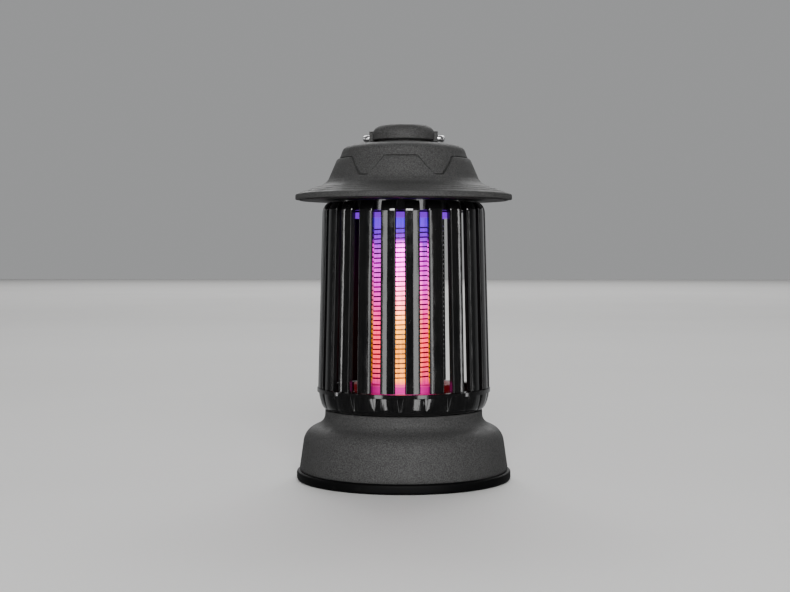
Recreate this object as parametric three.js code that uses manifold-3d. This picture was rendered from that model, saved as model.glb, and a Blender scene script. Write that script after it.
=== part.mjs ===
// Lantern bug zapper: a rechargeable base, a lamp wrapped in grid wires, and a lift-off cage with a wide hat.
// Millimetres, +Z up, origin on the floor under the middle of the foot ring. The front faces -Y.
import * as THREE from 'three';
import { mergeVertices } from 'three/addons/utils/BufferGeometryUtils.js';
import Module from 'manifold-3d';

const wasm = await Module();
wasm.setup();

// Driving dimensions
const GAP = 0.3;                 // clearance between pieces that touch
const BRIM_RADIUS = 75;
const FOOT_RADIUS = 73.9;
const FOOT_HEIGHT = 6.6;
const SHELL_BOTTOM = FOOT_HEIGHT + GAP;
const COVER_TOP = SHELL_BOTTOM + 2.4;
const DECK_TOP = 48;             // top face of the base, which the tray rests on
const COLLAR_RADIUS = 40.2;      // raised ring on the deck that centres the tray
const HOLDER_TOP = 66;           // lower grid holder
const UPPER_HOLDER = 180;        // underside of the upper grid holder
const RIM_TOP = 63.2;            // tray rim that the bars stand on
const BAR_COUNT = 22;
const BAR_TOP = 191.8;
const BAR_RADIUS_LOW = 59.5;     // ridge of a bar at its foot
const BAR_RADIUS_HIGH = 56.3;    // ridge of a bar at its top
const BAR_DEPTH = 4.8;
const BAR_WIDTH = 10.2;
const LINER_BOTTOM = 192.1;
const HAT_TOP = 232.6;           // flat crown of the hat
const SKIRT_TOP = 222.5;         // top edge of the hat's raised skirt
const CAP_RADIUS = 20.8;
const CAP_TOP = 244.4;
const BAIL_HEIGHT = 235.3;       // pivot axis of the bail
const BAIL_HALF_WIDTH = 26.6;
const WIRE_RADIUS = 2.2;
const WINDING_RADIUS = 27.6;
const WINDING_PITCH = 6.52;      // each of the two windings; interleaved they stand 3.26 apart
const CONTROL_HEIGHT = 21.2;     // socket, lens and button, on the back of the base
const CONTROL_BOARD_TOP = CONTROL_HEIGHT - 2;
const CONTROL_BOARD_BOTTOM = CONTROL_BOARD_TOP - 1.6;
const BOARD_BOTTOM = 31.2;       // main board
const BOARD_TOP = 32.8;
const BUTTON_AZIMUTH = 62;
const LENS_AZIMUTH = 76;
const BOTTOM_SCREW_RADIUS = 56;
const HAT_SCREW_RADIUS = 48;
const SCREW_AZIMUTHS = [30, 150, 270];
const ROUND = 40;                // sides of a large turned piece
const BAR_PITCH = 360 / BAR_COUNT;

const plastic = (color, roughness) => new THREE.MeshStandardMaterial({ color, roughness, metalness: 0 });
const metal = (color, roughness) => new THREE.MeshStandardMaterial({ color, roughness, metalness: 1 });
const HOUSING = plastic(0x464645, 0.75);
const GLOSS = plastic(0x0a0a0b, 0.12);
const RUBBER = plastic(0x111111, 0.85);
const CHROME = metal(0xd8d8d8, 0.12);
const STEEL = metal(0x8d8d90, 0.35);
const HOLDER = plastic(0x1b1718, 0.5);
const DIFFUSER = plastic(0xf3e6ff, 0.4);
const BOARD = plastic(0x1d4a2c, 0.5);
const WRAP = plastic(0x2b4f8f, 0.35);
const FERRITE = plastic(0x24221f, 0.6);
const AMBER = plastic(0xd98a2b, 0.4);
const LENS = plastic(0xd9efe0, 0.2);

const group = new THREE.Group();
const radians = THREE.MathUtils.degToRad;

// A manifold from any closed three.js geometry: corners merged, empty triangles dropped, faces outward.
function solid(geometry) {
  const bare = geometry.clone();
  bare.deleteAttribute('normal');
  bare.deleteAttribute('uv');
  const merged = mergeVertices(bare, 1e-3);
  const corners = merged.attributes.position;
  const [a, b, c] = [new THREE.Vector3(), new THREE.Vector3(), new THREE.Vector3()];
  const triangles = [];
  let volume = 0;
  for (let i = 0; i < merged.index.count; i += 3) {
    const [p, q, r] = [0, 1, 2].map((k) => merged.index.getX(i + k));
    if (p === q || q === r || r === p) continue;
    triangles.push(p, q, r);
    a.fromBufferAttribute(corners, p);
    b.fromBufferAttribute(corners, q);
    c.fromBufferAttribute(corners, r);
    volume += a.dot(b.cross(c));
  }
  if (volume < 0) triangles.reverse();
  return new wasm.Manifold(new wasm.Mesh({
    numProp: 3,
    vertProperties: Float32Array.from(corners.array),
    triVerts: Uint32Array.from(triangles),
  }));
}

const joined = (...shapes) => shapes.reduce((whole, next) => whole.add(next));

// Adds a named piece to the group and returns its mesh, so that a copy can be turned into place.
function piece(name, material, shape) {
  const mesh = shape.getMesh();
  const geometry = new THREE.BufferGeometry();
  geometry.setAttribute('position', new THREE.BufferAttribute(mesh.vertProperties, 3));
  geometry.setIndex(new THREE.BufferAttribute(mesh.triVerts, 1));
  geometry.computeVertexNormals();
  const part = new THREE.Mesh(geometry, material);
  part.name = name;
  group.add(part);
  return part;
}

// A path of radius and height, starting at its first point.
const outline = (radius, height) => new THREE.Path().moveTo(radius, height);

// The closed path turned about +Z.
function turnedGeometry(path, sides) {
  const points = path.getPoints(3);
  if (points[0].x > 0 || points.at(-1).x > 0) points.push(points[0].clone());
  return new THREE.LatheGeometry(points, sides).rotateX(Math.PI / 2);
}

const turned = (path, sides = ROUND) => solid(turnedGeometry(path, sides));

function box(sizeX, sizeY, sizeZ, x, y, z) {
  return solid(new THREE.BoxGeometry(sizeX, sizeY, sizeZ).translate(x, y, z));
}

// An upright cylinder between two heights.
function post(radius, bottom, top, x, y, sides = 12) {
  const cylinder = new THREE.CylinderGeometry(radius, radius, top - bottom, sides).rotateX(Math.PI / 2);
  return solid(cylinder.translate(x, y, (bottom + top) / 2));
}

// A cylinder lying along +X between two places, turned about +Z to an azimuth.
function radialPin(radius, from, to, azimuth, height, sides = 16) {
  const cylinder = new THREE.CylinderGeometry(radius, radius, to - from, sides).rotateZ(Math.PI / 2);
  return solid(cylinder.translate((from + to) / 2, 0, height).rotateZ(radians(azimuth)));
}

// A box out along +X, turned about +Z to an azimuth.
function radialBox(from, to, width, bottom, top, azimuth) {
  const block = new THREE.BoxGeometry(to - from, width, top - bottom);
  return solid(block.translate((from + to) / 2, 0, (bottom + top) / 2).rotateZ(radians(azimuth)));
}

// Takes a section drawn in X and Y to the Y and Z of the model, pulled along X.
const SECTION_TO_X = new THREE.Matrix4().set(0, 0, 1, 0, 1, 0, 0, 0, 0, 1, 0, 0, 0, 0, 0, 1);

const aroundCircle = (radius, azimuth) =>
  [radius * Math.cos(radians(azimuth)), radius * Math.sin(radians(azimuth))];

// A screw pointing up, with a slotted head at its lower end.
function screw(headRadius, shankRadius, bottom, headHeight, top, x, y) {
  const slot = box(0.8, headRadius * 1.6, 1, x, y, bottom);
  return post(headRadius, bottom, bottom + headHeight, x, y)
    .add(post(shankRadius, bottom + headHeight - 0.1, top, x, y, 8))
    .subtract(slot);
}

// Base -------------------------------------------------------------------------------------------

function footRing() {
  const inner = 61;
  return turned(outline(inner, 0)
    .lineTo(FOOT_RADIUS - 2, 0)
    .quadraticCurveTo(FOOT_RADIUS, 0.2, FOOT_RADIUS, 2.4)
    .lineTo(FOOT_RADIUS, 5)
    .quadraticCurveTo(FOOT_RADIUS, FOOT_HEIGHT, FOOT_RADIUS - 1.6, FOOT_HEIGHT)
    .lineTo(inner, FOOT_HEIGHT));
}

const POCKET_FLOOR = 68.4;       // flat floor of the pocket that the charging flap closes
const POCKET_BOTTOM = 15.3;
const POCKET_TOP = 26.8;

// Three bosses take the bottom screws, and four posts under the deck hold the main board down.
function baseShell() {
  const wall = outline(71.4, SHELL_BOTTOM)
    .lineTo(71.8, 9)
    .lineTo(69.4, 26)
    .quadraticCurveTo(68.4, 34.2, 60.5, 37.2)
    .quadraticCurveTo(54.6, 39.6, 54.4, 44.8)
    .lineTo(54.4, DECK_TOP)
    .lineTo(COLLAR_RADIUS, DECK_TOP)
    .lineTo(COLLAR_RADIUS, DECK_TOP + 4)
    .lineTo(COLLAR_RADIUS - 1.8, DECK_TOP + 4)
    .lineTo(COLLAR_RADIUS - 1.8, DECK_TOP)
    .lineTo(9, DECK_TOP)
    .lineTo(9, DECK_TOP - 2.4)
    .lineTo(52, DECK_TOP - 2.4)
    .lineTo(52, 44.2)
    .lineTo(53.4, 38.6)
    .lineTo(59, 35.2)
    .lineTo(65.4, 31.6)
    .lineTo(67, 25.6)
    .lineTo(69.2, COVER_TOP)
    .lineTo(69.2, SHELL_BOTTOM);
  let shell = turned(wall);
  for (const azimuth of SCREW_AZIMUTHS) {
    const place = aroundCircle(BOTTOM_SCREW_RADIUS, azimuth);
    const boss = post(3.4, COVER_TOP + GAP, 38, ...place);
    shell = shell.add(boss).subtract(post(1.8, COVER_TOP, 24, ...place, 8));
  }
  for (const [x, y] of [[-36, -22], [36, -22], [-36, 22], [36, 22]]) {
    shell = shell.add(post(2.6, BOARD_TOP + GAP, DECK_TOP - 1, x, y));
  }
  const pocket = radialBox(POCKET_FLOOR, 76, 18, POCKET_BOTTOM, POCKET_TOP, 90);
  const socketWindow = radialBox(60, 76, 10.4, CONTROL_HEIGHT - 2.7, CONTROL_HEIGHT + 2.9, 90);
  return shell
    .subtract(pocket)
    .subtract(socketWindow)
    .subtract(radialPin(1.9, 60, 76, LENS_AZIMUTH, CONTROL_HEIGHT, 12))
    .subtract(radialPin(6.4, 60, 76, BUTTON_AZIMUTH, CONTROL_HEIGHT, 24));
}

function bottomCover() {
  const radius = 68.9;
  let cover = turned(outline(0, SHELL_BOTTOM)
    .lineTo(radius, SHELL_BOTTOM)
    .lineTo(radius, COVER_TOP)
    .lineTo(0, COVER_TOP));
  for (const azimuth of [56, 94]) {
    cover = cover.add(post(2.6, COVER_TOP - 1, CONTROL_BOARD_BOTTOM - GAP, ...aroundCircle(55, azimuth)));
  }
  for (const azimuth of SCREW_AZIMUTHS) {
    const place = aroundCircle(BOTTOM_SCREW_RADIUS, azimuth);
    const headRecess = post(3.5, SHELL_BOTTOM - 1, SHELL_BOTTOM + 1.4, ...place);
    cover = cover.subtract(headRecess).subtract(post(1.9, SHELL_BOTTOM - 1, COVER_TOP + 1, ...place, 8));
  }
  return cover;
}

const CELL_RADIUS = 9.2;
const CELL_LENGTH = 65;
const CELL_HEIGHT = 19.9;
const CELL_PLACES = [-20.5, -1];

// A cylinder lying along X.
function lying(radius, length, x, y, z, sides) {
  const cylinder = new THREE.CylinderGeometry(radius, radius, length, sides).rotateZ(Math.PI / 2);
  return solid(cylinder.translate(x, y, z));
}

function batteryHolder() {
  const floor = COVER_TOP + GAP;
  const top = 18;
  let cradle = box(72, 42, top - floor, 0, -10.75, (floor + top) / 2);
  for (const y of CELL_PLACES) {
    cradle = cradle.subtract(lying(CELL_RADIUS + GAP, CELL_LENGTH + 0.8, 0, y, CELL_HEIGHT, 24));
  }
  return cradle;
}

function batteryCell(y) {
  const nub = lying(2.8, 3, CELL_LENGTH / 2 - 1.5, y, CELL_HEIGHT, 12);
  return lying(CELL_RADIUS, CELL_LENGTH - 1.4, -0.7, y, CELL_HEIGHT, 24).add(nub);
}

// The board has one round hole for the leads that go up to the lamp.
function mainBoard() {
  const thickness = BOARD_TOP - BOARD_BOTTOM;
  const leads = post(3, BOARD_BOTTOM - 1, BOARD_TOP + 1, 30, 0);
  return box(84, 56, thickness, 0, 0, BOARD_BOTTOM + thickness / 2).subtract(leads);
}

// A ferrite core through a wound bobbin, on a flat header.
function transformer() {
  const base = BOARD_TOP + GAP;
  const x = -16;
  const core = box(20, 6, 11, x, 0, base + 5.5);
  const bobbin = box(13, 16, 8, x, 0, base + 5);
  const header = box(18, 14, 1.6, x, 0, base + 0.8);
  return joined(core, bobbin, header);
}

function capacitor() {
  const radius = 4.6;
  const drum = new THREE.CylinderGeometry(radius, radius, 15, 16);
  return solid(drum.translate(14, 0, BOARD_TOP + GAP + radius));
}

function controlBoard() {
  const [inner, outer, start, end] = [46, 61.2, radians(50), radians(99)];
  const shape = new THREE.Shape()
    .absarc(0, 0, outer, start, end, false)
    .absarc(0, 0, inner, end, start, true);
  const depth = CONTROL_BOARD_TOP - CONTROL_BOARD_BOTTOM;
  const slab = new THREE.ExtrudeGeometry(shape, { depth, bevelEnabled: false, curveSegments: 8 });
  return solid(slab.translate(0, 0, CONTROL_BOARD_BOTTOM));
}

// A metal socket shell with a tongue in its mouth, on the control board.
function chargingSocket() {
  const bottom = CONTROL_BOARD_TOP + GAP;
  const shell = radialBox(58.6, 66.2, 8.9, bottom, bottom + 3.3, 90);
  const mouth = radialBox(60.2, 70, 8.3, bottom + 0.4, bottom + 2.9, 90);
  return shell.subtract(mouth).add(radialBox(59.8, 65.6, 6.4, bottom + 1.3, bottom + 2, 90));
}

// The switch that the button's stem presses.
function tactSwitch() {
  const bottom = CONTROL_BOARD_TOP + GAP;
  const body = radialBox(54.2, 58.4, 6, bottom, bottom + 4.6, BUTTON_AZIMUTH);
  return body.add(radialPin(1.5, 58, 60.4, BUTTON_AZIMUTH, CONTROL_HEIGHT, 12));
}

// The button is turned about its own axis: a crowned cap, with a flange behind the wall that holds it in.
function powerButton() {
  const [inner, flange, front, crown] = [62, 64.4, 71.6, 72.3];
  const path = outline(0, inner)
    .lineTo(1.6, inner)
    .lineTo(1.6, flange)
    .lineTo(7.6, flange)
    .lineTo(7.6, flange + 1.4)
    .lineTo(6, flange + 1.4)
    .lineTo(6, front - 0.5)
    .lineTo(5.4, front)
    .quadraticCurveTo(2.6, crown, 0, crown);
  const geometry = turnedGeometry(path, 24).rotateY(Math.PI / 2).translate(0, 0, CONTROL_HEIGHT);
  return solid(geometry.rotateZ(radians(BUTTON_AZIMUTH)));
}

function indicatorLens() {
  const flange = radialPin(2.8, 65.4, 66.4, LENS_AZIMUTH, CONTROL_HEIGHT, 12);
  return radialPin(1.6, 66, 70.4, LENS_AZIMUTH, CONTROL_HEIGHT, 12).add(flange);
}

const FLAP_HINGE_Y = 69.5;
const FLAP_HINGE_Z = 16.4;

// The flap's section across its hinge, pulled along X: a round hinge edge, the plate and a finger lip.
function chargingFlap() {
  const half = 0.8;
  const top = POCKET_TOP - 0.6;
  const section = new THREE.Shape()
    .moveTo(FLAP_HINGE_Y + half, FLAP_HINGE_Z)
    .lineTo(FLAP_HINGE_Y + half, top - 0.3)
    .lineTo(FLAP_HINGE_Y + half - 0.3, top)
    .lineTo(FLAP_HINGE_Y - half, top)
    .lineTo(FLAP_HINGE_Y - half, FLAP_HINGE_Z)
    .absarc(FLAP_HINGE_Y, FLAP_HINGE_Z, half, Math.PI, 2 * Math.PI, false);
  const along = (shape, width) => {
    const slab = new THREE.ExtrudeGeometry(shape, { depth: width, bevelEnabled: false, curveSegments: 6 });
    return solid(slab.translate(0, 0, -width / 2).applyMatrix4(SECTION_TO_X));
  };
  const plug = radialBox(FLAP_HINGE_Y - 2, FLAP_HINGE_Y, 9, CONTROL_HEIGHT - 2.2, CONTROL_HEIGHT + 2.2, 90);
  const lip = radialBox(FLAP_HINGE_Y, FLAP_HINGE_Y + 1.7, 7, top - 1.6, top - 0.3, 90);
  return joined(along(section, 16.8), plug, lip);
}

// Lamp and grid ----------------------------------------------------------------------------------

const POST_CIRCLE = 25;
const POST_AZIMUTHS = [0, 69, 111, 180, 249, 291];

// A waisted block with six thin posts that the upper holder slides onto.
function lowerGridHolder() {
  const bottom = DECK_TOP + GAP;
  const path = outline(9, bottom)
    .lineTo(34.5, bottom)
    .lineTo(34.5, bottom + 2.3)
    .quadraticCurveTo(30.5, 51.6, 30.5, 54)
    .lineTo(30.5, 57)
    .quadraticCurveTo(30.5, 59.4, 34.5, 60.2)
    .lineTo(34.5, HOLDER_TOP)
    .lineTo(9, HOLDER_TOP);
  const posts = POST_AZIMUTHS.map((azimuth) => {
    const place = aroundCircle(POST_CIRCLE, azimuth);
    return post(1.2, HOLDER_TOP - 1, UPPER_HOLDER + 2.2, ...place, 8);
  });
  return joined(turned(path, 32), ...posts);
}

function upperGridHolder() {
  const seat = UPPER_HOLDER + 1.6;
  const top = UPPER_HOLDER + 3.6;
  let plate = turned(outline(23.3, UPPER_HOLDER)
    .lineTo(36, UPPER_HOLDER)
    .lineTo(36, top)
    .lineTo(18, top)
    .lineTo(18, seat)
    .lineTo(23.3, seat), 32);
  for (const azimuth of POST_AZIMUTHS) {
    plate = plate.subtract(post(1.5, UPPER_HOLDER - 1, top + 1, ...aroundCircle(POST_CIRCLE, azimuth), 8));
  }
  return plate;
}

function diffuserTube() {
  const [inner, outer, bottom, top] = [21.2, 22.8, HOLDER_TOP + GAP, UPPER_HOLDER + 1.3];
  return turned(outline(inner, bottom).lineTo(outer, bottom).lineTo(outer, top).lineTo(inner, top), 32);
}

// A board on edge with a row of LEDs on each face, and a tab that stands in the lower holder.
function uvLampBoard() {
  const [bottom, top] = [HOLDER_TOP + 2, UPPER_HOLDER - 4];
  const rows = 8;
  let board = box(26, 1.6, top - bottom, 0, 0, (top + bottom) / 2);
  board = board.add(box(14, 1.6, 14, 0, 0, bottom - 6));
  for (let row = 0; row < rows; row += 1) {
    const height = bottom + (row + 0.5) * (top - bottom) / rows;
    board = board.add(box(5, 3.6, 5, 0, 0, height));
  }
  return board;
}

class Helix extends THREE.Curve {
  constructor(radius, pitch, bottom, turns, start) {
    super();
    Object.assign(this, { radius, pitch, bottom, turns, start });
  }

  getPoint(t, target = new THREE.Vector3()) {
    const angle = this.start + t * this.turns * 2 * Math.PI;
    const height = this.bottom + t * this.turns * this.pitch;
    return target.set(this.radius * Math.cos(angle), this.radius * Math.sin(angle), height);
  }
}

// A rod with a regular section swept along a curve.
function rod(curve, radius, sides, steps) {
  const section = new THREE.Shape();
  for (let k = 0; k < sides; k += 1) {
    const angle = (k + 0.5) * 2 * Math.PI / sides;
    section[k ? 'lineTo' : 'moveTo'](radius * Math.cos(angle), radius * Math.sin(angle));
  }
  return solid(new THREE.ExtrudeGeometry(section, { steps, extrudePath: curve, bevelEnabled: false }));
}

function gridWinding(start) {
  const turns = 16;
  const stepsATurn = 14;
  const helix = new Helix(WINDING_RADIUS, WINDING_PITCH, HOLDER_TOP + 4, turns, start);
  return rod(helix, 0.5, 3, turns * stepsATurn);
}

// Cage -------------------------------------------------------------------------------------------

// The tray's outer wall is fluted: a V under each gap, widest at the rim and closing to a point below.
function insectTray() {
  const bottom = DECK_TOP + GAP;
  const [floor, shelf, inner, foot] = [bottom + 2.1, RIM_TOP - 2.7, COLLAR_RADIUS + GAP, 53.2];
  const path = outline(inner, bottom)
    .lineTo(foot, bottom)
    .quadraticCurveTo(58.2, 51.4, 59.2, shelf)
    .lineTo(59.9, shelf)
    .lineTo(59.9, RIM_TOP)
    .lineTo(53, RIM_TOP)
    .lineTo(53, RIM_TOP - 1.4)
    .lineTo(56.2, RIM_TOP - 2.4)
    .lineTo(51.4, floor)
    .lineTo(inner + 1.7, floor)
    .lineTo(inner + 1.7, bottom + 9.7)
    .lineTo(inner, bottom + 9.7);
  const geometry = turnedGeometry(path, BAR_COUNT * 4);
  const places = geometry.attributes.position;
  const columnStep = radians(BAR_PITCH / 4);
  for (let i = 0; i < places.count; i += 1) {
    const [x, y, z] = [places.getX(i), places.getY(i), places.getZ(i)];
    const radius = Math.hypot(x, y);
    const outerWall = radius > foot - 0.1 + (z - bottom) * 0.45 && radius < 59.5 && z < shelf + 0.1;
    if (!outerWall) continue;
    // Columns count from the gap at the front: 0 is the bottom of a V, 2 is a bar's ridge, 1 and 3 its edges.
    const column = Math.round(Math.atan2(x, -y) / columnStep);
    const turn = ((column % 4) + 4) % 4;
    const rise = (z - bottom) / (shelf - bottom);
    const edgeShift = (turn === 1 ? -1 : 1) * radians(BAR_PITCH / 4 - 1.4 * rise - 0.4);
    const angle = column * columnStep + (turn % 2 ? edgeShift : 0);
    const depth = turn === 0 ? 1.6 * rise : 0;
    places.setXY(i, (radius - depth) * Math.sin(angle), -(radius - depth) * Math.cos(angle));
  }
  return solid(geometry);
}

// A bar leans in as it rises. Its section has a ridge outside, and its top corner is rounded under the hat.
function cageBar() {
  const bottom = RIM_TOP + GAP;
  const length = BAR_TOP - bottom;
  const half = BAR_WIDTH / 2;
  const draft = 0.4;
  const section = new THREE.Shape()
    .moveTo(0, 0)
    .lineTo(-1, half)
    .lineTo(-BAR_DEPTH, half - draft)
    .lineTo(-BAR_DEPTH, draft - half)
    .lineTo(-1, -half);
  const lean = Math.atan((BAR_RADIUS_LOW - BAR_RADIUS_HIGH) / length);
  const blank = new THREE.ExtrudeGeometry(section, { depth: length + 10, bevelEnabled: false });
  blank.translate(0, 0, -5).rotateY(-lean).translate(BAR_RADIUS_LOW, 0, bottom);
  const corner = 8;
  const side = new THREE.Shape()
    .moveTo(48, bottom)
    .lineTo(64, bottom)
    .lineTo(BAR_RADIUS_HIGH + 0.1, BAR_TOP - corner)
    .absarc(BAR_RADIUS_HIGH + 0.1 - corner, BAR_TOP - corner, corner, 0, Math.PI / 2, false)
    .lineTo(48, BAR_TOP);
  const slab = new THREE.ExtrudeGeometry(side, { depth: 16, bevelEnabled: false, curveSegments: 5 });
  slab.rotateX(Math.PI / 2).translate(0, 8, 0);
  return solid(blank).intersect(solid(slab));
}

// The ring that the bars meet, screwed up into the hat.
function cageTopRing() {
  const bottom = BAR_TOP - 7.3;
  const [inner, outer] = [45, 51.2];
  let ring = turned(outline(inner, bottom)
    .lineTo(outer, bottom)
    .lineTo(outer, BAR_TOP)
    .lineTo(inner, BAR_TOP));
  for (const azimuth of SCREW_AZIMUTHS) {
    const place = aroundCircle(HAT_SCREW_RADIUS, azimuth);
    const headRecess = post(2.8, bottom - 1, bottom + 1.8, ...place);
    ring = ring.subtract(headRecess).subtract(post(1.7, bottom, BAR_TOP + 1, ...place, 8));
  }
  return ring;
}

// Hat --------------------------------------------------------------------------------------------

// A flat disc that closes the hat from below.
function hatLiner() {
  const [radius, top] = [71.9, LINER_BOTTOM + 1.6];
  let liner = turned(outline(0, LINER_BOTTOM)
    .lineTo(radius, LINER_BOTTOM)
    .lineTo(radius, top)
    .lineTo(0, top));
  for (const azimuth of SCREW_AZIMUTHS) {
    const place = aroundCircle(HAT_SCREW_RADIUS, azimuth);
    liner = liner.subtract(post(1.7, LINER_BOTTOM - 1, top + 1, ...place, 8));
  }
  return liner;
}

// The raised skirt round the crown, 1.4 proud, with four sloping valleys cut down to the wall behind it.
function hatSkirt() {
  let skirt = turned(outline(49.4, 206.5).lineTo(52.2, 206.6).lineTo(45.4, SKIRT_TOP).lineTo(43, SKIRT_TOP));
  const valley = new THREE.Shape()
    .moveTo(-4.2, 209)
    .lineTo(4.2, 209)
    .lineTo(15.7, SKIRT_TOP + 1.5)
    .lineTo(-15.7, SKIRT_TOP + 1.5);
  for (const azimuth of [31.5, 148.5, 211.5, 328.5]) {
    const wedge = new THREE.ExtrudeGeometry(valley, { depth: 30, bevelEnabled: false });
    skirt = skirt.subtract(solid(wedge.rotateX(Math.PI / 2).translate(0, -30, 0).rotateZ(radians(azimuth))));
  }
  return skirt;
}

function hat() {
  const lip = LINER_BOTTOM + 0.7;
  const wall = outline(72.2, lip)
    .lineTo(BRIM_RADIUS, lip)
    .lineTo(BRIM_RADIUS, lip + 2.4)
    .quadraticCurveTo(BRIM_RADIUS, lip + 3.7, 73.4, lip + 4.1)
    .lineTo(58.6, 202.1)
    .quadraticCurveTo(54.6, 203.4, 53.2, 205.6)
    .lineTo(50.1, 208)
    .lineTo(43.9, SKIRT_TOP)
    .lineTo(41.6, 228)
    .quadraticCurveTo(40.2, 231.8, 28, HAT_TOP)
    .lineTo(2.2, HAT_TOP)
    .lineTo(2.2, HAT_TOP - 2.4)
    .lineTo(28, HAT_TOP - 2.4)
    .lineTo(37.4, 228.6)
    .lineTo(47.6, 207)
    .lineTo(51, 203)
    .lineTo(58.4, 200.6)
    .lineTo(72.2, lip + 2);
  let shell = turned(wall).add(hatSkirt());
  for (const azimuth of SCREW_AZIMUTHS) {
    const place = aroundCircle(HAT_SCREW_RADIUS, azimuth);
    const boss = post(3.2, LINER_BOTTOM + 1.9, 206, ...place);
    shell = shell.add(boss).subtract(post(1.6, LINER_BOTTOM, 203.5, ...place, 8));
  }
  return shell;
}

// The cap clamps the bail: its two ears have slots underneath, which the wire's ends lie in.
function topCap() {
  const foot = HAT_TOP + GAP;
  const dome = turned(outline(0, CAP_TOP)
    .lineTo(14.8, CAP_TOP)
    .quadraticCurveTo(20.4, CAP_TOP, CAP_RADIUS, 238)
    .lineTo(CAP_RADIUS, foot + 2.6)
    .lineTo(CAP_RADIUS - 2.4, foot + 2.2)
    .lineTo(CAP_RADIUS - 2.4, foot)
    .lineTo(17.2, foot)
    .lineTo(17.2, 239.6)
    .lineTo(14.4, 242)
    .lineTo(4, 242)
    .lineTo(4, foot)
    .lineTo(1.4, foot)
    .lineTo(1.4, 240)
    .lineTo(0, 240), 32);
  const [half, top, round] = [4.8, 240.2, 2.4];
  const earSection = new THREE.Shape()
    .moveTo(-half, foot)
    .lineTo(half, foot)
    .lineTo(half, top - round)
    .absarc(half - round, top - round, round, 0, Math.PI / 2, false)
    .absarc(round - half, top - round, round, Math.PI / 2, Math.PI, false);
  const reach = 23.6;
  const depth = 2 * reach;
  const bar = new THREE.ExtrudeGeometry(earSection, { depth, bevelEnabled: false, curveSegments: 4 });
  const ears = solid(bar.translate(0, 0, -reach).applyMatrix4(SECTION_TO_X));
  const hollow = box(34.4, 12, 20, 0, 0, foot + 5);
  let cap = dome.add(ears.subtract(hollow));
  for (const side of [-1, 1]) {
    const slotRadius = WIRE_RADIUS + GAP;
    const length = 6;
    const middle = side * (18.8 + length / 2);
    cap = cap.subtract(lying(slotRadius, length, middle, 0, BAIL_HEIGHT, 16));
    cap = cap.subtract(box(length, 2 * slotRadius, 4, middle, 0, BAIL_HEIGHT - 2));
  }
  return cap;
}

// A wire bent to a hairpin, lying back over the hat: two arms, a round end, and ends turned in to the cap.
function bailHandle() {
  const [armLength, bend, end] = [34, 2.8, 19.2];
  const path = new THREE.CurvePath();
  const at = (x, y) => new THREE.Vector3(x, y, BAIL_HEIGHT);
  const arm = BAIL_HALF_WIDTH;
  const arc = new THREE.CatmullRomCurve3(Array.from({ length: 13 }, (_, k) => {
    const angle = Math.PI - k * Math.PI / 12;
    return at(arm * Math.cos(angle), armLength + arm * Math.sin(angle));
  }));
  path.add(new THREE.LineCurve3(at(-end, 0), at(bend - arm, 0)));
  path.add(new THREE.QuadraticBezierCurve3(at(bend - arm, 0), at(-arm, 0), at(-arm, bend)));
  path.add(new THREE.LineCurve3(at(-arm, bend), at(-arm, armLength)));
  path.add(arc);
  path.add(new THREE.LineCurve3(at(arm, armLength), at(arm, bend)));
  path.add(new THREE.QuadraticBezierCurve3(at(arm, bend), at(arm, 0), at(arm - bend, 0)));
  path.add(new THREE.LineCurve3(at(arm - bend, 0), at(end, 0)));
  return rod(path, WIRE_RADIUS, 8, 60);
}

// Assembly ---------------------------------------------------------------------------------------

piece('foot_ring', RUBBER, footRing());
piece('base_shell', HOUSING, baseShell());
piece('bottom_cover', HOLDER, bottomCover());
SCREW_AZIMUTHS.forEach((azimuth, k) => {
  const place = aroundCircle(BOTTOM_SCREW_RADIUS, azimuth);
  piece(`bottom_screw_${k + 1}`, STEEL, screw(3.1, 1.5, SHELL_BOTTOM + 0.1, 1, 22, ...place));
});
piece('battery_holder', HOLDER, batteryHolder());
CELL_PLACES.forEach((y, k) => piece(`battery_cell_${k + 1}`, WRAP, batteryCell(y)));
piece('main_board', BOARD, mainBoard());
piece('hv_transformer', FERRITE, transformer());
piece('hv_capacitor', AMBER, capacitor());
piece('control_board', BOARD, controlBoard());
piece('charging_socket', STEEL, chargingSocket());
piece('tact_switch', HOLDER, tactSwitch());
piece('power_button', RUBBER, powerButton());
piece('indicator_lens', LENS, indicatorLens());
piece('charging_flap', RUBBER, chargingFlap());

piece('lower_grid_holder', HOLDER, lowerGridHolder());
piece('upper_grid_holder', DIFFUSER, upperGridHolder());
piece('diffuser_tube', DIFFUSER, diffuserTube());
piece('uv_lamp_board', BOARD, uvLampBoard());
piece('grid_winding_live', STEEL, gridWinding(0));
piece('grid_winding_return', STEEL, gridWinding(Math.PI));

piece('insect_tray', GLOSS, insectTray());
const bar = cageBar();
for (let k = 0; k < BAR_COUNT; k += 1) {
  piece(`cage_bar_${String(k + 1).padStart(2, '0')}`, GLOSS, bar).rotation.z = radians(k * BAR_PITCH);
}
piece('cage_top_ring', GLOSS, cageTopRing());
piece('hat_liner', HOLDER, hatLiner());
piece('hat', HOUSING, hat());
SCREW_AZIMUTHS.forEach((azimuth, k) => {
  const place = aroundCircle(HAT_SCREW_RADIUS, azimuth);
  piece(`hat_screw_${k + 1}`, STEEL, screw(2.5, 1.3, BAR_TOP - 7.1, 1.5, 202, ...place));
});
piece('top_cap', HOUSING, topCap());
piece('cap_screw', STEEL, screw(3, 1.1, HAT_TOP - 4.3, 1.6, 239, 0, 0));
piece('bail_handle', CHROME, bailHandle());

export default group;
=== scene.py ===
# Lantern bug zapper. A rechargeable base carries a lamp wrapped in two grid wires; the barred cage with its
# tray and hat lifts off the base. Metres, +Z up, the front faces -Y.
import math

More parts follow.
